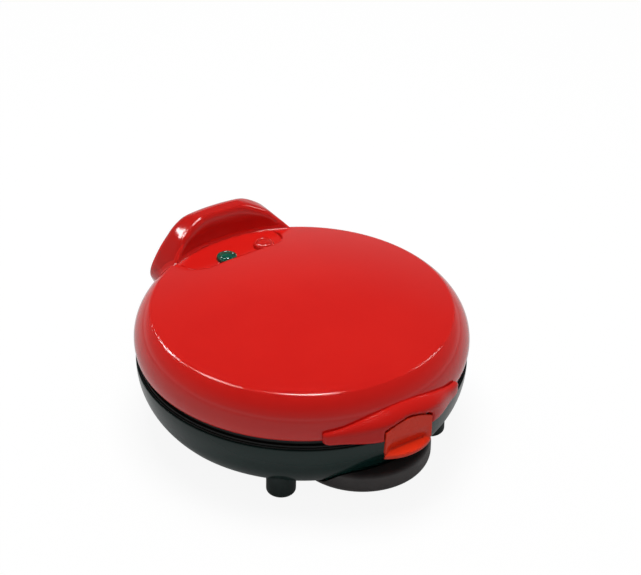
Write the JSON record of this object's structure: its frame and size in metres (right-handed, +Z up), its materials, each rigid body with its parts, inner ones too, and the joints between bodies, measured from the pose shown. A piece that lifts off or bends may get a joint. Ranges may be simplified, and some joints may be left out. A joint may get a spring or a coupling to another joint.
{
  "type": "arepa maker",
  "caption": "Round countertop arepa maker with a glossy red domed lid hinged over a black bowl base, a front visor handle with a swinging latch, and a rear hood beside two indicator lenses",
  "frame": {"origin": "on the floor under the middle of the whole part, on the upright axis of the round body", "axes": "+X to the right seen from the front, +Y to the hinge at the rear, +Z up"},
  "size_m": [0.2514, 0.284, 0.1208],
  "materials": {
    "red_gloss": "high gloss",
    "black_gloss": "high gloss",
    "black_matte": "matte",
    "grey_grip": "soft matte",
    "nonstick_coating": "satin non-stick coating",
    "reflector_sheet": "bright rolled sheet",
    "heater_sheath": "dull annealed sheath",
    "component_metal": "satin",
    "terminal_white": "matte",
    "pad_rubber": "matte",
    "steel": "plated",
    "hinge_black": "satin",
    "red_lens": "clear gloss",
    "green_lens": "clear gloss",
    "lamp_glass": "clear"
  },
  "bodies": {
    "base": {"base_bowl": "black_gloss", "base_collar": "black_matte", "latch_catch": "black_matte", "lower_plate": "nonstick_coating", "lower_heater": "heater_sheath", "lower_reflector": "reflector_sheet", "lower_thermostat": "component_metal", "thermal_fuse": "component_metal", "terminal_block": "terminal_white", "foot_front_left": "black_matte", "foot_front_right": "black_matte", "foot_rear_left": "black_matte", "foot_rear_right": "black_matte", "foot_pad_front_left": "pad_rubber", "foot_pad_front_right": "pad_rubber", "foot_pad_rear_left": "pad_rubber", "foot_pad_rear_right": "pad_rubber", "bottom_cover": "black_matte", "front_grip": "grey_grip", "cord_gland": "black_matte", "hinge_pin_left": "steel", "hinge_pin_right": "steel", "bottom_screws": "steel", "grip_screws": "steel", "foot_screws": "steel", "lower_plate_screws": "steel"},
    "lid": {"lid_cover": "red_gloss", "lid_frame": "black_matte", "upper_plate": "nonstick_coating", "upper_heater": "heater_sheath", "upper_reflector": "reflector_sheet", "upper_thermostat": "component_metal", "power_lens": "red_lens", "ready_lens": "green_lens", "power_lamp": "lamp_glass", "ready_lamp": "lamp_glass", "visor_handle": "red_gloss", "hinge_ear_left": "hinge_black", "hinge_ear_right": "hinge_black", "frame_screws": "steel", "ear_screws": "steel", "upper_plate_screws": "steel", "latch_pin": "steel", "latch_spring": "steel"},
    "latch": {"latch": "red_gloss"}
  },
  "joints": [
    {"name": "lid_hinge", "type": "hinge", "parent": "base", "child": "lid", "pos_m": [0, 0.1275, 0.0605], "axis": [-1, 0, 0], "range_deg": [0, 100]},
    {"name": "latch_pivot", "type": "hinge", "parent": "lid", "child": "latch", "pos_m": [0, -0.1314, 0.0726], "axis": [-1, 0, 0], "range_deg": [0, 10], "stiffness_Nm_per_rad": 0.05, "springref_deg": -5.73}
  ]
}
